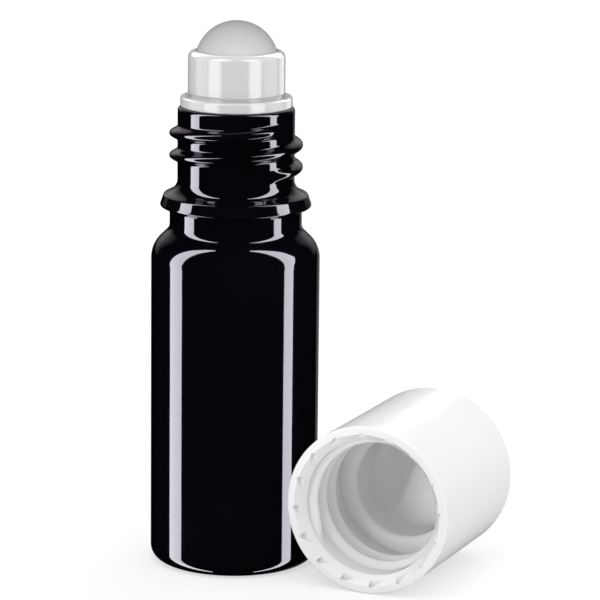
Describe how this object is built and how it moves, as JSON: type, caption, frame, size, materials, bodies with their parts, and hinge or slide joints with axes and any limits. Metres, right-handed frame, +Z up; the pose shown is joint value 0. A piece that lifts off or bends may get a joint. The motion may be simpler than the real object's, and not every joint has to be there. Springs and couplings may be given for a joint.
{
  "type": "roll-on bottle",
  "caption": "Small cylindrical glass roll-on bottle with a screw neck, a press-fit roller housing with a free ball, and a screw cap lying beside it.",
  "frame": {"origin": "middle of the ring that the bottle stands on, at table height, on the bottle's axis", "axes": "+Z up along the bottle's axis; the cap lies on the +X side with its axis along Y and its mouth towards -Y"},
  "size_m": [0.0458, 0.0275, 0.0738],
  "materials": {
    "dark_glass": "glossy, nearly black with a faint violet tint",
    "housing_plastic": "glossy white moulding",
    "ball_plastic": "matt, frosted light grey",
    "cap_plastic": "glossy white moulding"
  },
  "bodies": {
    "bottle": {"glass_bottle": "dark_glass", "ball_housing": "housing_plastic"},
    "ball": {"roller_ball": "ball_plastic"},
    "cap": {"screw_cap": "cap_plastic"}
  },
  "joints": [
    {"name": "ball_roll", "type": "hinge", "parent": "bottle", "child": "ball", "pos_m": [0, 0, 0.0682], "axis": [1, 0, 0], "continuous": true},
    {"name": "cap_lift", "type": "slide", "parent": "bottle", "child": "cap", "axis": [0, 0, 1], "range_m": [0, 0.08]}
  ]
}
